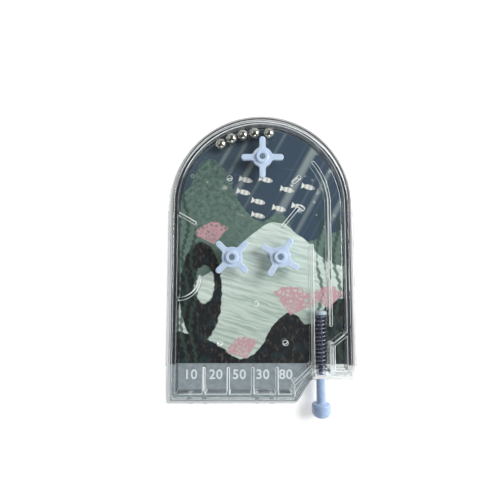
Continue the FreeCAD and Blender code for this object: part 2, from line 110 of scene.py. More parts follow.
# Where the rod's core colour begins: above it the dark navy is painted shade from the spring's
# coils.
SHADED_CORE_START = -69.3
CARD_TOP = 1.88
PRINT_EDGE = 34.7
CARD_MARGIN = (20.0, -66.1)
POCKET_EDGES = (-34.4, -23.10, -13.35, -3.60, 6.15, 15.6)
NUMBER_SHIFT = -0.65
NUMBER_LINE = -70.5
TABLE_MIDDLE = (0, -24, 0)

# The numbers, and their letters as shares of the font's size.
SCORES = ("10", "20", "50", "30", "80")
LETTER_SPACE = 1.08
LETTER_RISE = 0.02
LETTER_WEIGHT = 0.016

# The picture's drawn lines, as places across and up the card. The first two are a line's ends.
LINE_SPAN = (-40, 40)
LINE_RISE = (-72, 40)
REEF_LINE = ((-40, 2), (40, -8), (-31, 9), (-24, 21), (-16, 17), (-9, 2), (0, -6), (9, -3),
             (17, -14), (28, -12))
DUNE_LINE = ((-40, -34), (40, -26), (-26, -31), (-14, -21), (-2, -10), (9, -7), (18, -13),
             (27, -22))
ROCK_LINE = ((-40, -52), (40, -38), (-20, -57), (-8, -64), (-1, -60), (6, -49), (13, -45),
             (20, -50), (29, -41))
WEED_LINE = ((-40, 14), (40, 8), (-31, 3), (-27, -14), (-25, -72), (22, -72), (24, -8), (29, 9),
             (33, -4))
# Each coral fan's root, turn and size.
CORAL_FANS = (((-20.0, -16.0), 0.2, 9.5), ((12.5, -46.0), -0.25, 12.0),
              ((-6.0, -64.0), 0.35, 9.0), ((28.5, -43.0), 0.1, 9.0))

# Each lamp's place and side in metres, and the setting that holds its power.
LAMPS = (("key_lamp", (0.5, 0.16, 0.42), 0.42, "key_power"),
         ("fill_lamp", (-0.46, 0.22, 0.5), 0.42, "fill_power"),
         ("low_lamp", (0.1, -0.6, 0.4), 0.3, "low_power"))
FLOOR_RADIUS = 3
FLOOR_DROP = 0.1 * MM
FLOOR_WHITENS = (160, 700)
WEST_AND_EAST = (0.4, 1.5)
SENSOR_WIDTH = 36
WIRE_SIDES = 12
STEPS_PER_TURN = 28


def display(red, green, blue):
    """Turns a colour as a screen shows it, 0 to 255, into the linear one that shaders take."""
    def linear(level):
        level /= 255
        return level / 12.92 if level <= 0.04045 else ((level + 0.055) / 1.055) ** 2.4
    return (linear(red), linear(green), linear(blue), 1.0)


def colour_choice(name, description, *levels):
    """A colour that the panel shows."""
    return bpy.props.FloatVectorProperty(
        name=name, description=description, default=display(*levels), subtype="COLOR",
        size=4, min=0, max=1)


def length_choice(name, description, millimetres):
    """A length that the panel shows."""
    return bpy.props.FloatProperty(
        name=name, description=description, default=millimetres * MM, unit="LENGTH",
        subtype="DISTANCE", min=0, precision=5)


def share_choice(name, description, default, least=0):
    """A share of one that the panel shows."""
    return bpy.props.FloatProperty(
        name=name, description=description, default=default, min=least, max=1,
        subtype="FACTOR")


def power_choice(name, description, watts):
    """A lamp's power that the panel shows."""
    return bpy.props.FloatProperty(
        name=name, description=description, default=watts, min=0, unit="POWER")


class PlasticSettings(bpy.types.PropertyGroup):
    """The clear case and its ribs."""
    edge_round: length_choice("Edge round", "Round along the edges of the ribs", 0.22)
    cover_gap: length_choice("Gap under the cover", "Air between a rib's top and the cover", 0.02)
    clear_tint: colour_choice("Clear plastic", "Tint of the clear mouldings", 253, 254, 254)
    # The fence tints are painted shade: they grey the clear upright face, and darker on the left,
    # which the light from the right leaves in shade.
    fence_shade_tint: colour_choice("Fence", "Tint of the fence's upright face", 116, 122, 130)
    left_fence_shade_tint: colour_choice("Left fence", "Its tint on the left side", 40, 44, 50)
    # The posts' tint is painted shade: it greys the clear posts so that the spinners' holes look
    # dark.
    post_shade_tint: colour_choice("Posts", "Tint of the spinners' posts", 124, 142, 160)
    edge_clear: share_choice("Edge clearness", "Share of light that a frosted edge lets through",
                             0.25)
    fence_middle: length_choice("Fence middle", "From the middle to the fence's own", 35.0)
    wall_start: length_choice("Wall start", "From the middle to the cover's wall", 36.1)
    rim_start: length_choice("Rim start", "From the middle to where the cloudy rim begins", 37.2)
    rim_end: length_choice("Rim end", "From the middle to where the cloudy rim ends", 38.35)
    brow_start: length_choice(
        "Brow start", "From the middle to where the window's raised border begins", 36.2)
    rim_cloud: share_choice("Rim cloud", "How cloudy the rim is", 0.6)
    rim_tint: colour_choice("Rim", "Tint of the cloudy rim", 234, 233, 232)
    shadow_tint: colour_choice(
        "Light let through", "Share of a lamp's light that passes", 253, 254, 254)


class PictureSettings(bpy.types.PropertyGroup):
    """The printed card and the strip of scores."""
    deep_water: colour_choice("Deep water", "Upper right of the picture", 52, 68, 84)
    grey_water: colour_choice("Grey water", "Upper left of the picture", 66, 80, 92)
    dark_water: colour_choice("Dark water", "Lower left of the picture", 32, 52, 56)
    far_reef: colour_choice("Far reef", "Hills behind the sand", 104, 125, 115)
    pale_sand: colour_choice("Pale sand", "Dunes and shafts of light", 214, 225, 217)
    shaded_sand: colour_choice("Shaded sand", "Hollows of the dunes", 158, 174, 163)
    dark_rock: colour_choice("Dark rock", "Rock stacks", 22, 24, 28)
    coral: colour_choice("Coral", "Coral fans", 190, 148, 154)
    card_edge: colour_choice("Card edge", "Band of the print outside the fence", 24, 28, 40)
    # The strip's grey is painted shade, standing for the table's shadow seen through the clear
    # case.
    strip_painted_shade: colour_choice("Strip", "Ground of the score strip", 128, 138, 145)
    number_ink: colour_choice("Numbers", "Ink of the numbers", 226, 232, 234)
    number_height: length_choice("Number height", "Height of the numbers", 4.0)
    number_rise: length_choice("Ink rise", "How far the numbers stand off the strip", 0.02)


class MovingPartSettings(bpy.types.PropertyGroup):
    """Balls, spinners, plunger and spring."""
    spinner_blue: colour_choice("Spinners", "Moulded spinners", 198, 213, 233)
    # The core's dark navy is painted shade, for the rod lying in the shadow of the spring's coils.
    core_blue: colour_choice("Core", "The rod's core, inside the spring", 50, 54, 82)
    plunger_blue: colour_choice("Plunger", "Rod and knob", 166, 186, 216)
    tip_grey: colour_choice("Tip", "Cap that strikes the ball", 168, 182, 190)
    ball_steel: colour_choice("Balls", "Polished steel", 196, 196, 190)
    spring_wire: colour_choice("Spring", "Spring wire", 140, 142, 154)
    spinner_round: length_choice("Spinner round", "Round on the spinners' edges", 0.18)
    moulded_round: length_choice("Moulded round", "Round on the plunger's edges", 0.3)
    wire_diameter: length_choice("Wire", "Diameter of the spring's wire", 0.66)
    spring_radius: length_choice("Spring radius", "From the spring's axis to the wire's", 2.12)
    spring_turns: bpy.props.IntProperty(
        name="Spring turns", description="Turns of the spring", default=14, min=2)
    packed_share: share_choice("Packed share", "Length of the spring at full pull, as a share",
                               0.386, 0.1)


class StudioSettings(bpy.types.PropertyGroup):
    """Floor, lamps and camera."""
    camera_place: bpy.props.FloatVectorProperty(
        name="Camera", description="Where the camera stands",
        default=(-4.64 * MM, -32.05 * MM, 163.3 * MM), subtype="TRANSLATION", unit="LENGTH")
    camera_tilt: bpy.props.FloatProperty(
        name="Tilt", description="Tilt of the camera off straight down",
        default=radians(4.84), subtype="ANGLE", unit="ROTATION")
    camera_lens: bpy.props.FloatProperty(
        name="Lens", description="Focal length on a 36 mm sensor, in millimetres",
        default=27.2, min=1, subtype="DISTANCE_CAMERA")
    key_power: power_choice("Key lamp", "Power of the lamp at the right", 5.6)
    fill_power: power_choice("Fill lamp", "Power of the lamp at the upper left", 0.6)
    low_power: power_choice("Low lamp", "Power of the lamp at the foot", 1.0)
    horizon_level: bpy.props.FloatProperty(
        name="Horizon", description="Brightness of the studio at the horizon", default=0.8, min=0)
    zenith_level: bpy.props.FloatProperty(
        name="Zenith", description="Brightness of the studio overhead", default=0.12, min=0)
    floor_colour: colour_choice("Floor", "The pale floor", 247, 247, 247)
    floor_lift: share_choice("Floor lift", "Light that the floor adds where the camera sees it",
                             0.25)
    glass_lift: share_choice(
        "Glass lift", "Light that the floor adds where clear plastic shows it", 0.1)


class Recipe:
    """Adds nodes to a material or a world. Each call gives back the socket that it makes."""

    def __init__(self, owner):
        self.owner = owner
        owner.use_nodes = True
        self.tree = owner.node_tree
        self.tree.nodes.clear()

    def add(self, kind, inputs=None, out=0, **settings):
        """Adds a node, whose inputs go by name or number. Without an out, it gives them all."""
        node = self.tree.nodes.new("ShaderNode" + kind)
        for key, value in settings.items():
            setattr(node, key, value)
        for key, value in (inputs or {}).items():
            if isinstance(value, bpy.types.NodeSocket):
                self.tree.links.new(value, node.inputs[key])
            else:
                node.inputs[key].default_value = value
        return node.outputs if out is None or not node.outputs else node.outputs[out]

    def math(self, operation, *values):
        """One sum on numbers."""
        return self.add("Math", dict(enumerate(values)), operation=operation)

    def times(self, *values):
        """The product of some numbers."""
        return reduce(lambda first, second: self.math("MULTIPLY", first, second), values)

    def plus(self, *values):
        """The sum of some numbers."""
        return reduce(lambda first, second: self.math("ADD", first, second), values)

    def minus(self, first, second):
        """One number less another."""
        return self.math("SUBTRACT", first, second)

    def most(self, first, second):
        """The larger of two numbers."""
        return self.math("MAXIMUM", first, second)

    def length(self, across, along):
        """The length of a line, from its two legs."""
        return self.math("SQRT", self.plus(self.times(across, across), self.times(along, along)))

    def rays(self):
        """What kind of ray asks."""
        return self.add("LightPath", out=None)

    def place(self, turn=0.0, centre=(0, 0, 0)):
        """Object coordinates in millimetres, turned and from a centre given in millimetres."""
        back = Matrix.Rotation(-turn, 3, "Z") @ Vector(centre)
        return self.add("Mapping", {"Vector": self.add("TexCoord", out="Object"),
                                    "Scale": (1 / MM,) * 3, "Rotation": (0, 0, -turn),
                                    "Location": tuple(-back)})

    def split(self, vector):
        """The three numbers of a vector."""
        return self.add("SeparateXYZ", {0: vector}, out=None)

    def stretched(self, across, across_scale, along, along_scale):
        """A place whose two numbers are each scaled."""
        return self.add("CombineXYZ", {0: self.times(across, across_scale),
                                       1: self.times(along, along_scale)})

    def noise(self, vector, scale, detail=3.0, roughness=0.5, out="Fac"):
        """Soft noise, whose scale is per millimetre."""
        return self.add("TexNoise", {"Vector": vector, "Scale": scale, "Detail": detail,
                                     "Roughness": roughness}, out=out)

    def warp(self, vector, scale, reach, detail=2.0):
        """Moves a place about by a noise of a given reach in millimetres."""
        drift = self.noise(vector, scale, detail, out="Color")
        drift = self.add("VectorMath", {0: drift, 1: (0.5, 0.5, 0.5)}, operation="SUBTRACT")
        drift = self.add("VectorMath", {0: drift, "Scale": 2 * reach}, operation="SCALE")
        return self.add("VectorMath", {0: vector, 1: drift}, operation="ADD")

    def between(self, value, low, high, first=0.0, last=1.0):
        """Carries a number from one range to another and stops at its ends."""
        return self.add("MapRange", {"Value": value, "From Min": low, "From Max": high,
                                     "To Min": first, "To Max": last})

    def inside(self, value, low, high, soft):
        """1 inside a range and 0 outside it."""
        return self.times(self.between(value, low, low + soft),
                          self.between(value, high, high - soft))

    def mix(self, share, first, second, blend="MIX"):
        """Mixes two colours."""
        return self.add("Mix", {0: share, 6: first, 7: second}, out=2,
                        data_type="RGBA", blend_type=blend)

    def mix_numbers(self, share, first, second):
        """Mixes two numbers."""
        return self.add("Mix", {0: share, 2: first, 3: second}, data_type="FLOAT")

    def under(self, height, line, soft=0.12):
        """1 where a height is below a line, and 0 above it."""
        return self.between(self.minus(line, height), -soft, soft)

    def blob(self, across, along, centre, radii, soft=0.12):
        """1 inside an ellipse and 0 outside it."""
        reach = self.length(self.times(self.minus(across, centre[0]), 1 / radii[0]),
                            self.times(self.minus(along, centre[1]), 1 / radii[1]))
        edge = soft / min(radii)
        return self.between(reach, 1 + edge, 1 - edge)

    def outward(self, x, y):
        """How far out a place lies, in millimetres, alike along the sides, arch and foot."""
        side = self.length(x, self.most(y, 0.0))
        chin = self.between(x, CHIN_SIDE - 0.1, CHIN_SIDE + 0.1, FOOT_REACH, CHIN_REACH)
        return self.most(side, self.minus(self.times(y, -1.0), chin))

    def bump(self, height, strength, distance=0.0001):
        """A normal that follows a height."""
        return self.add("Bump", {"Height": height, "Strength": strength, "Distance": distance})

    def skin(self, **inputs):
        """The Principled shader. A name's underscores stand for spaces."""
        named = {key.replace("_", " "): value for key, value in inputs.items()}
        return self.add("BsdfPrincipled", named)

    def close(self, shader):
        """Joins the shader to the output and gives back the material."""
        self.add("OutputMaterial", {"Surface": shader})
        return self.owner


def new_recipe(name):
    """An empty recipe for a new material."""
    return Recipe(bpy.data.materials.new(name))


def wall_cloud(recipe, x, y):
    """The share of light lost in the cloudy foot of the wall beside the plunger."""
    streak = recipe.noise(recipe.stretched(x, 3.0, y, 0.1), 1.0)
    return recipe.times(recipe.inside(x, *CLOUDY_WALL_X, 0.2),
                        recipe.inside(y, *CLOUDY_WALL_Y, 0.5),
                        recipe.between(streak, 0.42, 0.58, 0.0, 0.45))


def rib_colour_with_painted_shade(recipe, settings, colour, x, height, out):
    """A rib's colour, with painted shade on the fence's upright face: a grey tint, darker at the
    left, which reflections leave out.
    """
    upright = recipe.times(recipe.inside(height, *FENCE_HEIGHTS, 0.05),
                           recipe.inside(out, *FENCE_FACES, 0.1),
                           recipe.minus(1.0, recipe.rays()["Is Reflection Ray"]))
    fence = recipe.mix(recipe.between(x, *LEFT_TO_RIGHT_SHADE), tuple(settings.left_fence_shade_tint),
                       tuple(settings.fence_shade_tint))
    return recipe.mix(upright, colour, fence)


def frosted_edge(recipe, settings, scuffs, x, height, out):
    """A frosted edge's roughness and clearness. Beyond the fence's middle it is clear, and so are
    the top edges on the left side, a painted shade that dims them as if the light fell only from
    the right.
    """
    middle = settings.fence_middle / MM
    dimmed_left_top = recipe.times(recipe.between(height, *DIMMED_EDGE_TOP),
                            recipe.between(x, *DIMMED_EDGE_SIDE), 0.85)
    open_part = recipe.most(recipe.between(out, middle, middle + 0.2), dimmed_left_top)
    rough = recipe.mix_numbers(open_part, recipe.between(scuffs, 0.3, 0.7, 0.25, 0.4), 0.02)
    clear = recipe.times(
        recipe.between(scuffs, 0.3, 0.7, settings.edge_clear, settings.edge_clear + 0.15),
        recipe.between(out, FENCE_FACES[0], FENCE_FACES[0] - 0.1))
    return rough, recipe.most(open_part, clear)


def cloudy_rim(recipe, settings, y, height, out):
    """Where a shell's rim is cloudy, and the share of light lost there."""
    def beyond(start, first=0.0, last=1.0):
        return recipe.between(out, start / MM, start / MM + 0.1, first, last)
    border = recipe.times(beyond(settings.brow_start), recipe.between(
        height, WINDOW_BORDER_HEIGHT, WINDOW_BORDER_HEIGHT + 0.1))
    rim = recipe.times(recipe.most(beyond(settings.rim_start), border),
                       beyond(settings.rim_end, 1.0, 0.3))
    streak = recipe.noise(recipe.stretched(out, 1.6, y, 0.03), 1.0)
    cloud = recipe.between(streak, 0.35, 0.65, settings.rim_cloud - 0.2,
                           settings.rim_cloud + 0.2)
    return rim, recipe.times(rim, cloud)


def clear_plastic(settings, name="clear_plastic", edge=False, shell=False, bend=1.49,
                  tint=None):
    """Clear polystyrene with faint flow marks, which lets the lamps' light through.

    An edge is a little frosted, and a shell is cloudy along its rim. A foot that sits tight on
    the card doesn't bend the light."""
    recipe = new_recipe(name)
    place = recipe.place()
    flow = recipe.noise(place, 0.16, 2.0)
    scuffs = recipe.noise(recipe.warp(place, 0.3, 1.5), 2.4, 4.0, 0.7)
    colour = tuple(tint or settings.clear_tint)
    x, y, height = recipe.split(place)
    out = recipe.outward(x, y)
    if shell:
        rim, lost = cloudy_rim(recipe, settings, y, height, out)
        colour = recipe.mix(rim, colour, tuple(settings.rim_tint))
    else:
        # Painted shade on the fence's upright face.
        colour = rib_colour_with_painted_shade(recipe, settings, colour, x, height, out)
    if edge:
        rough, clear = frosted_edge(recipe, settings, scuffs, x, height, out)
    else:
        rough = recipe.between(scuffs, 0.45, 0.8, 0.0, 0.05)
        clear = recipe.minus(1.0, lost if shell else wall_cloud(recipe, x, y))
    glass = recipe.skin(
        Base_Color=colour, Roughness=rough, IOR=bend, Transmission_Weight=clear,
        Normal=recipe.bump(flow, 0.05, 0.0002))
    open_air = recipe.add("BsdfTransparent", {0: tuple(settings.shadow_tint)})
    ray = recipe.rays()
    passing = recipe.most(ray["Is Shadow Ray"], ray["Is Diffuse Ray"])
    return recipe.close(recipe.add("MixShader", {0: passing, 1: glass, 2: open_air}))


class ReefPrint(Recipe):
    """The card's picture: a sunken reef, which each layer takes and gives back."""

    def __init__(self, settings):
        super().__init__(bpy.data.materials.new("reef_print"))
        self.settings = settings
        self.spot = self.place()
        self.x, self.y, self.z = self.split(self.spot)
        self.ragged = self.split(self.warp(self.spot, 0.5, 0.9, 4.0))
        self.calm = self.split(self.warp(self.spot, 0.09, 1.6))

    def ink(self, name):
        """One of the picture's colours."""
        return tuple(getattr(self.settings, name))

    def line(self, across, points):
        """The height of a drawn line over a distance."""
        node = self.tree.nodes.new("ShaderNodeFloatCurve")
        curve = node.mapping.curves[0]
        for index, (x, y) in enumerate(points):
            spot = ((x - LINE_SPAN[0]) / (LINE_SPAN[1] - LINE_SPAN[0]),
                    (y - LINE_RISE[0]) / (LINE_RISE[1] - LINE_RISE[0]))
            if index < 2:
                curve.points[index].location = spot
            else:
                curve.points.new(*spot)
        node.mapping.update()
        self.tree.links.new(self.between(across, *LINE_SPAN), node.inputs["Value"])
        return self.between(node.outputs[0], 0, 1, *LINE_RISE)

    def water(self):
        """Slate at the top right, greyer at the top left and dark at the lower left."""
        sea = self.mix(self.between(self.calm[0], -30, 16), self.ink("grey_water"),
                       self.ink("deep_water"))
        deep = self.between(self.plus(self.y, self.times(self.x, 0.7)), 2, -52)
        return self.mix(deep, sea, self.ink("dark_water"))

    def shafts(self, picture):
        """Shafts of light that fall from the upper right."""
        slant = self.minus(self.x, self.times(self.y, 0.55))
        shaft = self.noise(self.add("CombineXYZ", {0: slant}), 0.17, 1.0)
        fade = self.between(self.plus(self.y, self.x), -50, 40, 0.15, 1.0)
        shaft = self.times(self.between(shaft, 0.5, 0.72, 0, 0.42), fade)
        return self.mix(shaft, picture, self.ink("pale_sand"))

    def far_reef(self, picture):
        """The mossy reef behind the sand."""
        moss = self.mix(self.between(self.noise(self.spot, 0.55, 5.0, 0.65), 0.35, 0.68),
                        self.ink("far_reef"), self.ink("dark_water"))
        haze = self.mix(self.between(self.y, 18, -30, 0.15, 0.75), moss, self.ink("far_reef"))
        ridge = self.line(self.ragged[0], REEF_LINE)
        return self.mix(self.under(self.ragged[1], ridge), picture, haze)

    def dunes(self, picture):
        """Dunes with ripples."""
        across, up = self.calm[0], self.calm[1]
        dune = self.line(across, DUNE_LINE)
        ripple = self.noise(self.add("CombineXYZ", {
            0: self.times(across, 0.1), 1: self.plus(up, self.times(across, 0.3))}), 0.75, 2.0)
        crest = self.between(ripple, 0.42, 0.62, 0.0, 0.55)
        depth = self.between(self.minus(dune, up), 2, 34, 0.0, 0.45)
        specks = self.between(self.noise(self.spot, 1.6, 4.0, 0.7), 0.5, 0.72, 0.0, 0.3)
        sand = self.mix(self.between(self.plus(crest, depth, specks), 0, 1),
                        self.ink("pale_sand"), self.ink("shaded_sand"))
        return self.mix(self.under(up, dune), picture, sand)

    def rocks(self, picture):
        """A tall stack at the left with a hole through it, and low ones at the right."""
        across, up = self.ragged[0], self.ragged[1]
        left = self.blob(across, up, (-25.5, -36), (9.0, 21.0), 0.2)
        hole = self.blob(across, up, (-24.0, -33), (4.2, 8.0), 0.2)
        left = self.times(left, self.minus(1.0, hole))
        stack = self.most(left, self.under(up, self.line(across, ROCK_LINE)))
        strokes = self.noise(self.warp(self.stretched(self.x, 1.0, self.y, 0.4), 0.5, 1.2),
                             0.7, 4.0, 0.62)
        rock = self.mix(self.between(strokes, 0.52, 0.68, 0, 0.55), self.ink("dark_rock"),
                        display(96, 92, 80))
        mossy = self.between(self.noise(self.spot, 0.22), 0.52, 0.66, 0, 0.6)
        return self.mix(stack, picture, self.mix(mossy, rock, self.ink("dark_water")))

    def weed(self, picture):
        """Weed that sways behind the rocks at the right and at the far left."""
        sway = self.times(self.math("SINE", self.times(self.y, 0.22)), 1.3)
        strand = self.math("PINGPONG", self.plus(self.x, sway, 40.0), 1.9)
        leaf = self.math("ABSOLUTE", self.math("SINE", self.plus(
            self.times(self.y, 1.1), self.times(self.x, 0.9))))
        leaf = self.math("MULTIPLY_ADD", leaf, 0.75, 0.2)
        weed = self.times(self.between(self.minus(leaf, strand), -0.1, 0.1),
                          self.under(self.y, self.line(self.x, WEED_LINE), 0.5), 0.8)
        return self.mix(weed, picture, display(46, 66, 58))

    def corals(self, picture):
        """Coral fans: veins that branch outward from a root."""
        for root, turn, size in CORAL_FANS:
            across, up, _ = self.split(self.place(turn, (*root, 0)))
            reach = self.length(across, up)
            angle = self.math("ARCTAN2", across, up)
            vein = self.add("TexVoronoi", {"Vector": self.stretched(angle, 3.4, reach, 0.38),
                                           "Scale": 1.35, "Randomness": 0.9},
                            feature="DISTANCE_TO_EDGE")
            uneven = self.plus(reach, self.times(self.noise(self.spot, 0.45), 3.0))
            mask = self.times(self.between(self.math("ABSOLUTE", angle), 0.95, 0.85),
                              self.between(uneven, size + 1.6, size + 1.3),
                              self.between(vein, 0.17, 0.11, 0.35, 1.0))
            picture = self.mix(mask, picture, self.ink("coral"))
        return picture

    def fish(self, picture):
        """A shoal of small plain fish, one to each cell of a loose grid."""
        swim = self.place(radians(-14), (9, 8, 0))
        shoal = self.add("TexVoronoi", {"Vector": swim, "Scale": 0.115, "Randomness": 0.45},
                         out=None)
        along, over, _ = self.split(self.add(
            "VectorMath", {0: swim, 1: shoal["Position"]}, operation="SUBTRACT"))
        body = self.blob(along, over, (0.35, 0), (2.6, 1.1), 0.08)
        wedge = self.minus(self.times(self.plus(along, 1.1), -0.75),
                           self.math("ABSOLUTE", over))
        tail = self.times(self.between(wedge, -0.08, 0.08), self.between(along, -3.1, -2.9))
        stripes = self.between(self.math("SINE", self.times(along, 3.4)), 0.3, 0.6, 0, 0.75)
        scales = self.mix(stripes, self.ink("pale_sand"), self.ink("coral"))
        waters = self.blob(self.x, self.y, (4, 6), (20, 11), 1.0)
        return self.mix(self.times(self.most(body, tail), waters), picture, scales)

    def bubbles(self, picture):
        """Bubbles that rise at both sides."""
        drops = self.add("TexVoronoi", {"Vector": self.spot, "Scale": 0.28}, out=None)
        size = self.between(self.split(drops["Color"])[0], 0, 1, 0.05, 0.26)
        ring = self.math("ABSOLUTE", self.minus(drops["Distance"], size))
        columns = self.most(self.blob(self.x, self.y, (27, 6), (5, 22), 1.5),
                            self.blob(self.x, self.y, (-26, 16), (5, 10), 1.5))
        bubbles = self.times(self.between(ring, 0.05, 0.02, 0, 0.55), columns)
        return self.mix(bubbles, picture, self.ink("pale_sand"))

    def on_card(self, picture):
        """The print with its dark band outside the fence, on a card that is bare elsewhere."""
        out = self.math("ABSOLUTE", self.outward(self.x, self.most(self.y, -30.0)))
        picture = self.mix(self.between(out, PRINT_EDGE, PRINT_EDGE + 0.3), picture,
                           self.ink("card_edge"))
        grain = self.noise(self.spot, 3.2, 4.0, 0.7)
        picture = self.mix(self.between(grain, 0.3, 0.75, 0.0, 0.16), picture,
                           (0.62, 0.66, 0.68, 1), "OVERLAY")
        board = self.mix(self.noise(self.spot, 1.6, 5.0), (0.62, 0.62, 0.6, 1),
                         (0.72, 0.72, 0.7, 1))
        right, below = CARD_MARGIN
        margin = self.times(self.between(self.x, right, right + 0.1),
                            self.between(self.y, below, below - 0.1))
        picture = self.mix(margin, picture, board)
        colour = self.mix(self.between(self.z, CARD_TOP - 0.02, CARD_TOP), board, picture)
        return matt_card(self, colour, grain)


def matt_card(recipe, colour, grain):
    """Closes a print's recipe with a matt, faintly grained skin."""
    return recipe.close(recipe.skin(
        Base_Color=colour, Roughness=recipe.between(grain, 0.3, 0.7, 0.5, 0.62),
        Normal=recipe.bump(grain, 0.1), Specular_IOR_Level=0.12))


def reef_print(settings):
    """The picture card's material, layer upon layer."""
    reef = ReefPrint(settings)
    picture = reef.water()
    for layer in (reef.shafts, reef.far_reef, reef.dunes, reef.rocks, reef.weed, reef.corals,
                  reef.fish, reef.bubbles):
        picture = layer(picture)
    return reef.on_card(picture)


def strip_print(settings):
    """The score strip's ground: mottled grey, painted shade that stands for the table's shadow
    seen through the clear case.
    """
    recipe = new_recipe("strip_print")
    place = recipe.place()
    cloud = recipe.noise(recipe.warp(place, 0.25, 2.0), 0.42, 5.0, 0.62)
    grain = recipe.noise(place, 3.6, 3.0, 0.7)
    ground = recipe.mix(recipe.between(cloud, 0.32, 0.7), tuple(settings.strip_painted_shade),
                        display(158, 166, 170))
    ground = recipe.mix(recipe.between(grain, 0.42, 0.75, 0, 0.35), ground,
                        display(98, 108, 116))
    return matt_card(recipe, ground, grain)


def number_ink(settings):
    """The numbers' pale ink, a little uneven."""
    recipe = new_recipe("number_ink")
    wear = recipe.noise(recipe.place(), 1.8, 4.0, 0.65)
    ink = recipe.mix(recipe.between(wear, 0.35, 0.7), tuple(settings.number_ink),
                     display(206, 214, 218))
    return recipe.close(recipe.skin(Base_Color=ink, Roughness=recipe.between(
        wear, 0.3, 0.7, 0.35, 0.5)))


def moulded_blue(name, colour, shade, cloudiness, core=None):
    """Blue plastic with a soft glow inside it, faint flow lines and a fine grain.

    A core colour takes over above the gate, where the rod runs inside the spring: a painted shade,
    dark as the rod lies in the shadow of the coils."""
    recipe = new_recipe(name)
    place = recipe.place()
    flow = recipe.noise(recipe.warp(place, 0.35, 1.2), 0.5)
    grain = recipe.noise(place, 5.0, 3.0, 0.6)
    body = recipe.mix(recipe.between(flow, 0.35, 0.7), tuple(colour), shade)
    if core:
        along = recipe.split(place)[1]
        body = recipe.mix(recipe.between(along, SHADED_CORE_START, SHADED_CORE_START + 0.2), body, tuple(core))
    return recipe.close(recipe.skin(
        Base_Color=body, Roughness=recipe.between(grain, 0.3, 0.7, 0.24, 0.36), IOR=1.5,
        Subsurface_Weight=cloudiness, Subsurface_Radius=(0.7, 0.9, 1.2), Subsurface_Scale=0.001,
        Normal=recipe.bump(grain, 0.06, 0.00005)))


def polished_steel(settings):
    """Ball steel with faint rolling marks."""
    recipe = new_recipe("polished_steel")
    marks = recipe.noise(recipe.place(), 2.6, 5.0, 0.7)
    tone = recipe.mix(recipe.between(marks, 0.35, 0.7), tuple(settings.ball_steel),
                      display(170, 170, 160))
    return recipe.close(recipe.skin(
        Base_Color=tone, Metallic=1.0, Roughness=recipe.between(marks, 0.4, 0.75, 0.05, 0.14),
        Normal=recipe.bump(marks, 0.03, 0.00003)))


def spring_steel(settings):
    """Drawn wire: dull steel with fine marks."""
    recipe = new_recipe("spring_steel")
    marks = recipe.noise(recipe.place(), 3.4, 4.0, 0.7)
    tone = recipe.mix(recipe.between(marks, 0.35, 0.7), tuple(settings.spring_wire),
                      display(96, 98, 112))
    return recipe.close(recipe.skin(
        Base_Color=tone, Metallic=1.0, Roughness=recipe.between(marks, 0.3, 0.7, 0.2, 0.34),
        Normal=recipe.bump(marks, 0.05, 0.00003)))


def studio_floor(settings):
    """Pale paper that keeps the object's shadow and turns white far away."""
    recipe = new_recipe("studio_floor")
    fibre = recipe.noise(recipe.place(), 0.4, 4.0)
    paper = recipe.mix(recipe.between(fibre, 0.3, 0.7), tuple(settings.floor_colour),
                       display(249, 249, 249))
    ray = recipe.rays()
    through = ray["Is Transmission Ray"]
    seen = recipe.most(ray["Is Camera Ray"], recipe.most(ray["Is Glossy Ray"], through))
    away = recipe.add("VectorMath", {0: recipe.place(centre=TABLE_MIDDLE)}, out="Value",
                      operation="LENGTH")
    lift = recipe.between(away, *FLOOR_WHITENS, settings.floor_lift, 1.0)
    glow = recipe.plus(recipe.times(seen, lift), recipe.times(through, settings.glass_lift))
    lit = recipe.skin(Base_Color=paper, Roughness=0.9, Specular_IOR_Level=0.0)
    added = recipe.add("Emission", {"Color": (1, 1, 1, 1), "Strength": glow})
    return recipe.close(recipe.add("AddShader", {0: lit, 1: added}))


def mesh_of(name, bm, materials=()):
    """Turns a bmesh into a mesh with its materials."""
    mesh = bpy.data.meshes.new(name)
    bm.to_mesh(mesh)
    bm.free()
    for material in materials:
        mesh.materials.append(material)
    return mesh


def add_piece(name, mesh, body, stands_for=()):
    """Adds a mesh as a piece of the game that rides on a body."""
    piece = bpy.data.objects.new(name, mesh)
    bpy.context.scene.collection.objects.link(piece)
    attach(piece, body)
    if stands_for:
        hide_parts(*stands_for)
    return piece


def soften(piece, angle=radians(32)):
    """Shades a piece smooth, apart from edges sharper than the angle."""
    piece.data.shade_smooth()
    piece.data.set_sharp_from_angle(angle=angle)
    even = piece.modifiers.new("even_shading", "WEIGHTED_NORMAL")
    even.keep_sharp = True


def weld(bm):
    """Joins points that lie on each other."""
    bmesh.ops.remove_doubles(bm, verts=bm.verts, dist=WELD)


def merge_faces(bm):
    """Puts whole faces in place of loose triangles."""
    weld(bm)
    bmesh.ops.dissolve_limit(bm, angle_limit=radians(1), verts=bm.verts, edges=bm.edges)


def merged_copy(node):
    """A bmesh of a CAD node with whole faces."""
    bm = bmesh.new()
    bm.from_mesh(frame["nodes"][node].data)
    merge_faces(bm)
    return bm


def shell_copy(node, name, gap, materials):
    """A closed copy of a shell that keeps its normals, drawn in where it would touch another."""
    source = frame["nodes"][node].data
    normals = [tuple(corner.vector) for corner in source.corner_normals]
    bm = bmesh.new()
    bm.from_mesh(source)
    weld(bm)
    if len(bm.faces) != len(source.polygons):
        raise RuntimeError("a face was lost from " + node)
    low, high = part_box(node)
    for vertex in bm.verts:
        if node == "base_tray":
            vertex.co.z = min(vertex.co.z, high.z - gap)
        if node == "spring_gate":
            for axis in range(3):
                vertex.co[axis] = min(max(vertex.co[axis], low[axis] + gap), high[axis] - gap)
    mesh = mesh_of(name, bm, materials)
    mesh.shade_smooth()
    mesh.normals_split_custom_set(normals)
    return mesh


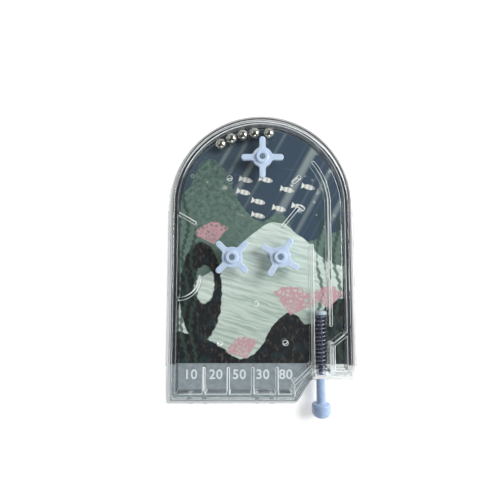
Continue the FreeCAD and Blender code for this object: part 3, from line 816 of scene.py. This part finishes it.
def foot_reach(x):
    """How much further out than the sides the case's edge lies below a place, in metres."""
    return (CHIN_REACH if x > CHIN_SIDE * MM else FOOT_REACH) * MM


def outward(place):
    """How far out a place lies, alike along the sides, arch and foot."""
    return max(Vector((place.x, max(place.y, 0))).length, -place.y - foot_reach(place.x))


def draw_in(vertex, reach):
    """Brings a point back inside the cover's wall, on the sides, arch and foot."""
    side = Vector((vertex.co.x, max(vertex.co.y, 0)))
    if side.length > reach:
        side *= reach / side.length
        vertex.co.x = side.x
        if vertex.co.y > 0:
            vertex.co.y = side.y
    vertex.co.y = max(vertex.co.y, -(reach + foot_reach(vertex.co.x)))


def ramp_bar():
    """The return ramp as a straight bar whose ends lie inside the walls that it joins."""
    low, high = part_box("return_ramp")
    start, end = (Vector((*place, 0)) * MM for place in RAMP_ENDS)
    along = end - start
    bm = bmesh.new()
    bmesh.ops.create_cube(bm, size=1)
    bmesh.ops.scale(bm, vec=(along.length, RAMP_WIDTH * MM, high.z - low.z), verts=bm.verts)
    bmesh.ops.rotate(bm, matrix=along.to_track_quat("X", "Z").to_matrix(), verts=bm.verts)
    middle = (start + end) / 2
    bmesh.ops.translate(bm, vec=(middle.x, middle.y, (low.z + high.z) / 2), verts=bm.verts)
    return bm


def joined_ribs(nodes):
    """Ribs that meet, as one moulding."""
    meshes = [mesh_of(node, ramp_bar() if node == "return_ramp" else merged_copy(node))
              for node in nodes]
    trial = bpy.data.objects.new("ribs", meshes[0])
    others = bpy.data.collections.new("other_ribs")
    bpy.context.scene.collection.objects.link(trial)
    bpy.context.scene.collection.children.link(others)
    for mesh in meshes[1:]:
        others.objects.link(bpy.data.objects.new(mesh.name, mesh))
    if meshes[1:]:
        union = trial.modifiers.new("union", "BOOLEAN")
        union.operation = "UNION"
        union.solver = "EXACT"
        union.operand_type = "COLLECTION"
        union.collection = others
    bpy.context.view_layer.update()
    whole = bpy.data.meshes.new_from_object(
        trial.evaluated_get(bpy.context.evaluated_depsgraph_get()))
    bm = bmesh.new()
    bm.from_mesh(whole)
    merge_faces(bm)
    for spare in [trial, *others.objects]:
        bpy.data.objects.remove(spare)
    bpy.data.collections.remove(others)
    for mesh in [whole, *meshes]:
        bpy.data.meshes.remove(mesh)
    return bm


def round_edges(bm, width, finish=0, within=float("inf"), turn=radians(40)):
    """Bevels the edges that turn by more than an angle, and gives the rounds a finish.

    Edges that lie further out than a reach stay sharp, because the cover's wall hides them."""
    edges = [edge for edge in bm.edges if edge.calc_face_angle(0) > turn
             and outward((edge.verts[0].co + edge.verts[1].co) / 2) < within]
    rounds = bmesh.ops.bevel(bm, geom=edges, offset=width, offset_type="OFFSET", segments=2,
                             profile=0.5, affect="EDGES", material=-1)
    for face in rounds["faces"]:
        face.material_index = finish


def seat_feet(mesh, index):
    """Gives the faces that sit on the card a material of their own."""
    foot = min(vertex.co.z for vertex in mesh.vertices) + 0.05 * MM
    for face in mesh.polygons:
        if face.normal.z < -0.99 and face.center.z < foot:
            face.material_index = index


def body_of_node(node):
    """The body that a CAD node rides on."""
    for body, nodes in frame["record"]["behaviour"]["bodies"].items():
        if node in nodes:
            return body
    raise RuntimeError("no body carries " + node)


class PINBALL_OT_clear_case(bpy.types.Operator):
    """Adds the clear case: tray, cover, gate, fence, ribs and pins"""
    bl_idname = "pinball.clear_case"
    bl_label = "Clear Case"

    def execute(self, context):
        settings = context.scene.pinball_plastic
        plastic = clear_plastic(settings)
        frosted = clear_plastic(settings, "frosted_edge", edge=True)
        shell_plastic = clear_plastic(settings, "shell_plastic", shell=True)
        seated = clear_plastic(settings, "seated_foot", bend=1.0)
        # The posts take a grey tint, painted shade for the dark holes in the spinners.
        post_plastic = clear_plastic(settings, "post_plastic", edge=True, tint=settings.post_shade_tint)
        gap = settings.cover_gap
        for name, nodes in RIB_GROUPS.items():
            bm = joined_ribs(nodes)
            top = max(vertex.co.z for vertex in bm.verts) - gap
            for vertex in bm.verts:
                vertex.co.z = min(vertex.co.z, top)
                draw_in(vertex, settings.wall_start - gap)
            round_edges(bm, settings.edge_round, 1, settings.fence_middle)
            faces = (plastic, frosted)
            if name == "spinner_posts_moulding":
                faces = (post_plastic, post_plastic)
            mesh = mesh_of(name, bm, (*faces, seated))
            seat_feet(mesh, 2)
            soften(add_piece(name, mesh, "case", nodes))
        for node in CASE_SHELLS:
            name = node + "_moulding"
            mesh = shell_copy(node, name, gap, (shell_plastic,))
            if node == "top_cover":
                mesh.materials.append(seated)
                seat_feet(mesh, 1)
            add_piece(name, mesh, "case", (node,))
        return {"FINISHED"}


class PINBALL_OT_picture(bpy.types.Operator):
    """Prints the picture card and the score strip with its numbers"""
    bl_idname = "pinball.picture"
    bl_label = "Picture and Scores"

    def execute(self, context):
        settings = context.scene.pinball_picture
        # The strip's ground is painted shade for the shadowed table under the case.
        for node, material in (("picture_card", reef_print(settings)),
                               ("score_strip", strip_print(settings))):
            frame["nodes"][node].data.materials.clear()
            frame["nodes"][node].data.materials.append(material)
        strip_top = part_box("score_strip")[1].z
        written = bmesh.new()
        for number, left, right in zip(SCORES, POCKET_EDGES, POCKET_EDGES[1:]):
            text = bpy.data.curves.new("number_" + number, "FONT")
            text.body = number
            text.align_x = "CENTER"
            text.align_y = "CENTER"
            text.space_character = LETTER_SPACE
            text.extrude = LETTER_RISE / 2
            text.offset = LETTER_WEIGHT
            holder = bpy.data.objects.new("number_" + number, text)
            flat = bpy.data.meshes.new_from_object(holder)
            heights = [vertex.co.y for vertex in flat.vertices]
            size = settings.number_height / (max(heights) - min(heights))
            middle = ((left + right) / 2 + NUMBER_SHIFT) * MM
            flat.transform(Matrix.Translation((middle, NUMBER_LINE * MM, strip_top))
                           @ Matrix.Diagonal((size, size, settings.number_rise / LETTER_RISE, 1)))
            written.from_mesh(flat)
            bpy.data.objects.remove(holder)
            bpy.data.curves.remove(text)
            bpy.data.meshes.remove(flat)
        weld(written)
        add_piece("score_numbers", mesh_of("score_numbers", written, (number_ink(settings),)),
                  "case")
        return {"FINISHED"}


class PINBALL_OT_spinners(bpy.types.Operator):
    """Adds the three star spinners"""
    bl_idname = "pinball.spinners"
    bl_label = "Spinners"

    def execute(self, context):
        settings = context.scene.pinball_moving
        blue = moulded_blue("spinner_plastic", settings.spinner_blue, display(184, 201, 226), 0.3)
        for node in SPINNERS:
            name = node + "_star"
            bm = merged_copy(node)
            round_edges(bm, settings.spinner_round)
            soften(add_piece(name, mesh_of(name, bm, (blue,)), body_of_node(node),
                             (node,)))
        return {"FINISHED"}


class PINBALL_OT_balls(bpy.types.Operator):
    """Adds the five steel balls"""
    bl_idname = "pinball.balls"
    bl_label = "Balls"

    def execute(self, context):
        steel = polished_steel(context.scene.pinball_moving)
        for node in BALLS:
            name = node + "_steel"
            low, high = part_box(node)
            bm = bmesh.new()
            bmesh.ops.create_icosphere(bm, subdivisions=5, radius=max(high - low) / 2,
                                       matrix=Matrix.Translation((low + high) / 2))
            mesh = mesh_of(name, bm, (steel,))
            mesh.shade_smooth()
            add_piece(name, mesh, body_of_node(node), (node,))
        return {"FINISHED"}


class PINBALL_OT_plunger(bpy.types.Operator):
    """Adds the plunger's rod, knob and tip"""
    bl_idname = "pinball.plunger"
    bl_label = "Plunger"

    def execute(self, context):
        settings = context.scene.pinball_moving
        # The core colour is painted shade for the rod inside the spring.
        blue = moulded_blue("plunger_plastic", settings.plunger_blue, display(146, 167, 200), 0.05,
                            settings.core_blue)
        grey = moulded_blue("tip_plastic", settings.tip_grey, display(146, 160, 170), 0.3)
        for node, plastic in (("plunger_rod", blue), ("plunger_tip", grey)):
            name = node + "_blue"
            bm = merged_copy(node)
            round_edges(bm, settings.moulded_round)
            soften(add_piece(name, mesh_of(name, bm, (plastic,)), "plunger",
                             (node,)))
        return {"FINISHED"}


class PINBALL_OT_spring(bpy.types.Operator):
    """Winds the plunger's spring"""
    bl_idname = "pinball.spring"
    bl_label = "Spring"

    def execute(self, context):
        settings = context.scene.pinball_moving
        low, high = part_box("plunger_spring")
        middle = (low + high) / 2
        wire = settings.wire_diameter / 2
        start = Vector((middle.x + settings.spring_radius, low.y + wire, middle.z))
        steps = settings.spring_turns * STEPS_PER_TURN
        climb = (high.y - low.y - 2 * wire) / steps
        bm = bmesh.new()
        bmesh.ops.create_circle(bm, segments=WIRE_SIDES, radius=wire, cap_ends=True,
                                matrix=Matrix.Translation(start))
        bmesh.ops.spin(bm, geom=bm.verts[:] + bm.edges[:] + bm.faces[:],
                       cent=(middle.x, 0, middle.z), axis=(0, 1, 0), dvec=(0, climb, 0),
                       angle=tau * settings.spring_turns, steps=steps)
        weld(bm)
        bmesh.ops.recalc_face_normals(bm, faces=bm.faces)
        mesh = mesh_of("plunger_spring_coil", bm, (spring_steel(settings),))
        mesh.shade_smooth()
        spring = add_piece("plunger_spring_coil", mesh, "case",
                           ("plunger_spring",))
        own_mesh(spring)
        return {"FINISHED"}


class PINBALL_OT_studio(bpy.types.Operator):
    """Adds the floor, the lamps, the world and the camera"""
    bl_idname = "pinball.studio"
    bl_label = "Studio"

    def execute(self, context):
        settings = context.scene.pinball_studio
        scene = context.scene
        scene.view_settings.view_transform = "Standard"
        scene.cycles.max_bounces = 24
        scene.cycles.transmission_bounces = 24
        scene.cycles.transparent_max_bounces = 48

        bm = bmesh.new()
        bmesh.ops.create_circle(bm, cap_ends=True, segments=64, radius=FLOOR_RADIUS,
                                matrix=Matrix.Translation((0, 0, -FLOOR_DROP)))
        mesh = mesh_of("studio_floor", bm, (studio_floor(settings),))
        floor = bpy.data.objects.new("studio_floor", mesh)
        scene.collection.objects.link(floor)

        for name, place, side, power in LAMPS:
            light = bpy.data.lights.new(name, "AREA")
            light.shape = "SQUARE"
            light.size = side
            light.energy = getattr(settings, power)
            lamp = bpy.data.objects.new(name, light)
            scene.collection.objects.link(lamp)
            lamp.location = place
            aim = Vector(TABLE_MIDDLE) * MM - Vector(place)
            lamp.rotation_euler = aim.to_track_quat("-Z", "Y").to_euler()

        world = bpy.data.worlds.new("studio_world")
        scene.world = world
        sky = Recipe(world)
        east, _, rise = sky.split(sky.add("TexCoord", out="Generated"))
        level = sky.between(rise, 0.15, 0.75, settings.horizon_level, settings.zenith_level)
        level = sky.times(level, sky.between(east, -0.7, 0.7, *WEST_AND_EAST))
        strength = sky.mix_numbers(sky.rays()["Is Camera Ray"], level, 1.0)
        backdrop = sky.add("Background", {"Color": (1, 1, 1, 1), "Strength": strength})
        sky.add("OutputWorld", {"Surface": backdrop})

        lens = bpy.data.cameras.new("camera")
        lens.lens = settings.camera_lens
        lens.sensor_width = SENSOR_WIDTH
        lens.clip_start = 0.01
        camera = bpy.data.objects.new("camera", lens)
        scene.collection.objects.link(camera)
        camera.location = settings.camera_place
        camera.rotation_euler = (settings.camera_tilt, 0, 0)
        scene.camera = camera
        return {"FINISHED"}


OPERATORS = (
    PINBALL_OT_clear_case, PINBALL_OT_picture, PINBALL_OT_spinners, PINBALL_OT_balls,
    PINBALL_OT_plunger, PINBALL_OT_spring, PINBALL_OT_studio,
)
SETTINGS = {
    "pinball_plastic": PlasticSettings,
    "pinball_picture": PictureSettings,
    "pinball_moving": MovingPartSettings,
    "pinball_studio": StudioSettings,
}


class PINBALL_PT_panel(bpy.types.Panel):
    """The pinball game's pieces and settings"""
    bl_label = "Pocket Pinball Game"
    bl_idname = "PINBALL_PT_panel"
    bl_space_type = "VIEW_3D"
    bl_region_type = "UI"
    bl_category = "Pinball"

    def draw(self, context):
        for operator in OPERATORS:
            self.layout.operator(operator.bl_idname)
        for name, group in SETTINGS.items():
            box = self.layout.box()
            for choice in group.__annotations__:
                box.prop(getattr(context.scene, name), choice)


def register():
    """Makes the settings, the operators and the panel known to Blender."""
    for name, group in SETTINGS.items():
        bpy.utils.register_class(group)
        setattr(bpy.types.Scene, name, bpy.props.PointerProperty(type=group))
    for operator in OPERATORS:
        bpy.utils.register_class(operator)
    bpy.utils.register_class(PINBALL_PT_panel)


def unregister():
    """Takes them away again."""
    bpy.utils.unregister_class(PINBALL_PT_panel)
    for operator in reversed(OPERATORS):
        bpy.utils.unregister_class(operator)
    for name, group in reversed(SETTINGS.items()):
        delattr(bpy.types.Scene, name)
        bpy.utils.unregister_class(group)


def main():
    """Dresses the game piece by piece."""
    register()
    bpy.ops.pinball.clear_case()
    bpy.ops.pinball.picture()
    bpy.ops.pinball.spinners()
    bpy.ops.pinball.balls()
    bpy.ops.pinball.plunger()
    bpy.ops.pinball.spring()
    bpy.ops.pinball.studio()


if __name__ == "__main__":
    main()
